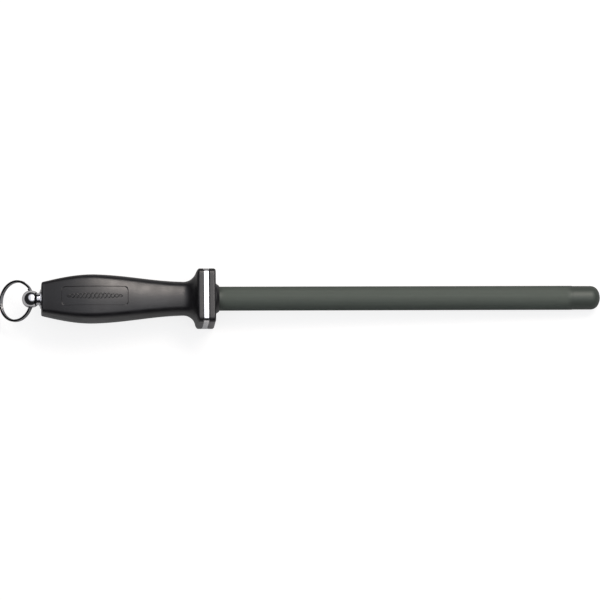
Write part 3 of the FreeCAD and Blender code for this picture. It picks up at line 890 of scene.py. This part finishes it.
def makeSplitRingTree():
    # flat wire wound twice round, with one short crossing from the lower turn to the upper
    tree, given, out = makeTree("splitRing", "GeometryNodeTree",
                                [("Mean Radius", "Float", 0.013), ("Width", "Float", 0.0016),
                                 ("Height", "Float", 0.0012), ("Gap", "Float", 0.0001),
                                 ("Round", "Float", 0.0003), ("Cross From", "Float", 2.0),
                                 ("Cross Angle", "Float", 0.5),
                                 ("Points", "Int", 300), ("Centre", "Vector", (0, 0, 0)),
                                 ("Tilt", "Vector", (0, 0, 0)), ("Material", "Material", None)],
                                [("Geometry", "Geometry")])
    index = addNode(tree, "GeometryNodeInputIndex").outputs[0]
    share = calc(tree, "DIVIDE", index, calc(tree, "SUBTRACT", given["Points"], 1))
    full = calc(tree, "SUBTRACT", math.tau, given["Cross Angle"])
    sweep = calc(tree, "ADD", calc(tree, "MULTIPLY", full, 2.0), given["Cross Angle"])
    along = calc(tree, "MULTIPLY", share, sweep)
    first = calc(tree, "ADD", given["Cross From"], given["Cross Angle"])
    angle = calc(tree, "ADD", along, first)
    rise = calc(tree, "ADD", given["Height"], given["Gap"])
    climbed = ramp(tree, along, full, calc(tree, "ADD", full, given["Cross Angle"]))
    lift = calc(tree, "MULTIPLY", calc(tree, "SUBTRACT", climbed, 0.5), rise)
    x = calc(tree, "MULTIPLY", calc(tree, "COSINE", angle), given["Mean Radius"])
    y = calc(tree, "MULTIPLY", calc(tree, "SINE", angle), given["Mean Radius"])
    place = addNode(tree, "ShaderNodeCombineXYZ", {0: x, 1: y, 2: lift}).outputs[0]
    line = addNode(tree, "GeometryNodeMeshLine", {"Count": given["Points"]}).outputs[0]
    wound = addNode(tree, "GeometryNodeSetPosition", {"Geometry": line, "Position": place}).outputs[0]
    path = addNode(tree, "GeometryNodeMeshToCurve", {"Mesh": wound}).outputs[0]
    level = addNode(tree, "GeometryNodeSetCurveNormal", {"Curve": path}, mode="Z_UP").outputs[0]
    flat = addNode(tree, "GeometryNodeCurvePrimitiveQuadrilateral", {"Width": given["Width"],
                                                                     "Height": given["Height"]}).outputs[0]
    rounded = addNode(tree, "GeometryNodeFilletCurve", {"Curve": flat, "Radius": given["Round"], "Count": 4},
                      mode="POLY").outputs[0]
    swept = addNode(tree, "GeometryNodeCurveToMesh", {"Curve": level, "Profile Curve": rounded,
                                                      "Fill Caps": True}).outputs[0]
    hung = addNode(tree, "GeometryNodeTransform", {"Geometry": swept, "Translation": given["Centre"],
                                                   "Rotation": given["Tilt"]}).outputs[0]
    return endTree(tree, hung, given, out)


def makeSplitRing():
    hang = mounts["hang_ring"]
    axis = Vector(hang["axis"])
    tilt = math.atan2(axis.x, axis.z)
    piece = meshObject("splitRing", [], [])
    useTree(piece, makeSplitRingTree(), {
        "Mean Radius": (ring["outer"] - ring["width"]) / 2, "Width": ring["width"], "Height": ring["height"],
        "Gap": ring["gap"], "Round": ring["round"], "Cross From": math.radians(ring["crossFrom"]),
        "Cross Angle": math.radians(ring["crossAngle"]), "Points": ring["points"],
        "Centre": tuple(hang["pos_m"]), "Tilt": (0, tilt, 0), "Material": ringSteel})
    piece = plainMesh(piece)
    smoothUpTo(piece, 40)
    markEdges(piece, 2 * mm, 0.4 * mm)
    return piece


splitRing = makeSplitRing()
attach(splitRing, "ring")
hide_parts("split_ring")
print("swivel and ring made")


innerLooks = {"tang_washer": zincSteel, "tang_nut": zincSteel, "swivel_bush": bushPolymer,
              "swivel_washer": zincSteel, "swivel_clip": zincSteel}


def dressInnerNodes():
    for node, material in innerLooks.items():
        for slot in cad[node].material_slots:
            slot.material = material


dressInnerNodes()
print("inner pieces dressed")


view = {"middle": (53.93 * mm, -1.01 * mm, 0.0), "distance": 5.0, "width": 0.3989, "sideTilt": 9.0,
        "backTilt": 3.28, "roll": -0.144, "sensor": 36.0, "farEnd": 20}


def makeCamera():
    side = math.radians(view["sideTilt"])
    lean = math.radians(view["backTilt"])
    back = Vector((-math.sin(lean) * math.cos(side), -math.sin(side), math.cos(lean) * math.cos(side)))
    right = (Vector((1, 0, 0)) - back * back.x).normalized()
    right.rotate(Matrix.Rotation(math.radians(view["roll"]), 3, back))
    up = back.cross(right)
    data = bpy.data.cameras.new("camera")
    data.sensor_width = view["sensor"]
    data.lens = data.sensor_width * view["distance"] / view["width"]
    data.clip_end = view["farEnd"]
    camera = bpy.data.objects.new("camera", data)
    place = Matrix((right, up, back)).transposed().to_4x4()
    place.translation = Vector(view["middle"]) + back * view["distance"]
    camera.matrix_world = place
    scene.collection.objects.link(camera)
    scene.camera = camera


floorLook = {"reach": 3.0, "colour": (0.26, 0.26, 0.26), "whiten": 0.8, "inGloss": 0.18,
             "below": 0.05 * mm}


def makeFloor():
    # the steel lies on its guard's lower edge and on its tip, so the floor rises a little towards the tip
    guardLow = Vector((-guard["capRound"] - guard["collarLength"], 0, -guardHalf))
    tipLow = Vector((rodHigh.x - rod["edgeRound"], 0, -rodRadius + rod["relief"]))
    slope = (tipLow - guardLow).normalized()
    reach = floorLook["reach"]
    corners = []
    for a, b in ((-1, -1), (1, -1), (1, 1), (-1, 1)):
        corner = guardLow + slope * reach * a + Vector((0, reach * b, 0))
        corners.append(corner - Vector((0, 0, floorLook["below"])))
    floor = meshObject("floor", corners, [(0, 1, 2, 3)])
    material, tree, shader, place = startMaterial("floorPaper", floorLook["colour"], Roughness=0.9)
    tone = placeGroup(tree, grainGroup, place, {"Scale": 400.0, "Detail": 4.0})
    addBump(tree, shader, tone["Height"], 0.00005, 0.2)
    path = addNode(tree, "ShaderNodeLightPath").outputs
    mirrored = calc(tree, "MAXIMUM", path["Is Glossy Ray"], path["Is Transmission Ray"])
    gloss = calc(tree, "MULTIPLY", mirrored, floorLook["inGloss"])
    white = calc(tree, "MULTIPLY_ADD", path["Is Camera Ray"], floorLook["whiten"], gloss)
    glow = addNode(tree, "ShaderNodeEmission", {"Color": (1, 1, 1, 1), "Strength": white})
    both = addNode(tree, "ShaderNodeAddShader", {0: shader.outputs[0], 1: glow.outputs[0]})
    tree.links.new(both.outputs[0], tree.nodes["Material Output"].inputs["Surface"])
    floor.data.materials.append(material)


lamps = {
    "key": {"towards": (0.25, 0.46, 0.85), "distance": 1.5, "size": (0.9, 0.5), "power": 13.5,
            "colour": (1.0, 0.91, 0.84)},
    "top": {"towards": (0.22, 0.03, 1.0), "distance": 1.6, "size": (1.1, 0.8), "power": 3.6,
            "colour": (1.0, 0.97, 0.95)},
}


def makeLamps():
    for name, lamp in lamps.items():
        data = bpy.data.lights.new(name, "AREA")
        data.shape = "RECTANGLE"
        data.size, data.size_y = lamp["size"]
        data.energy = lamp["power"]
        data.color = lamp["colour"]
        towards = Vector(lamp["towards"]).normalized()
        light = bpy.data.objects.new(name, data)
        place = towards.to_track_quat("Z", "Y").to_matrix().to_4x4()
        place.translation = Vector(view["middle"]) + towards * lamp["distance"]
        light.matrix_world = place
        scene.collection.objects.link(light)


sky = {"colour": (0.93, 0.94, 1.0), "soft": 0.5, "overhead": 0.9, "low": 0.02,
       "middle": (0.24, 0.22, 0.945), "from": 0.6, "to": 0.82}


def makeWorld():
    world = bpy.data.worlds.new("studio")
    scene.world = world
    world.use_nodes = True
    tree = world.node_tree
    towards = addNode(tree, "ShaderNodeTexCoord").outputs["Generated"]
    middle = tuple(Vector(sky["middle"]).normalized())
    near = addNode(tree, "ShaderNodeVectorMath", {0: towards, 1: middle}, operation="DOT_PRODUCT")
    shine = ramp(tree, near.outputs["Value"], sky["from"], sky["to"], sky["low"], sky["overhead"])
    path = addNode(tree, "ShaderNodeLightPath").outputs
    strength = addNode(tree, "ShaderNodeMix", {0: path["Is Glossy Ray"], 2: sky["soft"], 3: shine}).outputs[0]
    strength = addNode(tree, "ShaderNodeMix", {0: path["Is Camera Ray"], 2: strength, 3: 1.0}).outputs[0]
    tree.links.new(strength, tree.nodes["Background"].inputs["Strength"])
    tint = blendColour(tree, path["Is Camera Ray"], sky["colour"], (1, 1, 1))
    tree.links.new(tint, tree.nodes["Background"].inputs["Color"])


makeCamera()
makeFloor()
makeLamps()
makeWorld()
scene.view_settings.view_transform = "Standard"
print("studio made")
